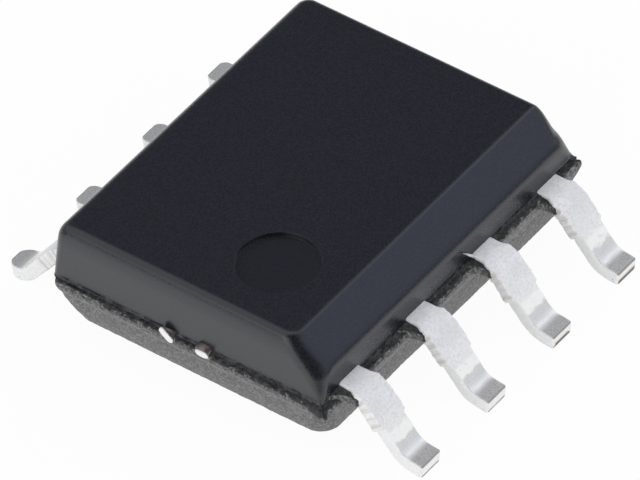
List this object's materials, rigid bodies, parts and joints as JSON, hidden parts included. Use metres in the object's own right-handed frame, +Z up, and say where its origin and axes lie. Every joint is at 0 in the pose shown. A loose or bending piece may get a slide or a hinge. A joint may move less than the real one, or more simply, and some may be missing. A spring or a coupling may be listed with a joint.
{
  "type": "bus buffer chip",
  "caption": "Surface-mount chip: black moulded block with a long bevel and an index dimple, gull-wing leads on its two long sides, die and bond wires inside.",
  "frame": {"origin": "middle of the part on the board plane that the toes stand on", "axes": "+X along the lead rows, away from the end with the index dimple; +Y across the leads, away from the bevelled side; +Z up from the board"},
  "size_m": [0.005, 0.006, 0.0016],
  "materials": {
    "mould_compound": "fine matte moulded resin",
    "tin_plating": "matte tin plate",
    "copper_frame": "plain copper sheet",
    "silver_epoxy": "cured paste",
    "silicon": "polished",
    "gold_wire": "drawn wire"
  },
  "bodies": {
    "root": {"mould_body": "mould_compound", "lead_1": "tin_plating", "lead_2": "tin_plating", "lead_3": "tin_plating", "lead_4": "tin_plating", "lead_5": "tin_plating", "lead_6": "tin_plating", "lead_7": "tin_plating", "lead_8": "tin_plating", "die_pad": "copper_frame", "die_attach": "silver_epoxy", "silicon_die": "silicon", "bond_wire_1": "gold_wire", "bond_wire_2": "gold_wire", "bond_wire_3": "gold_wire", "bond_wire_4": "gold_wire", "bond_wire_5": "gold_wire", "bond_wire_6": "gold_wire", "bond_wire_7": "gold_wire", "bond_wire_8": "gold_wire"}
  },
  "joints": []
}
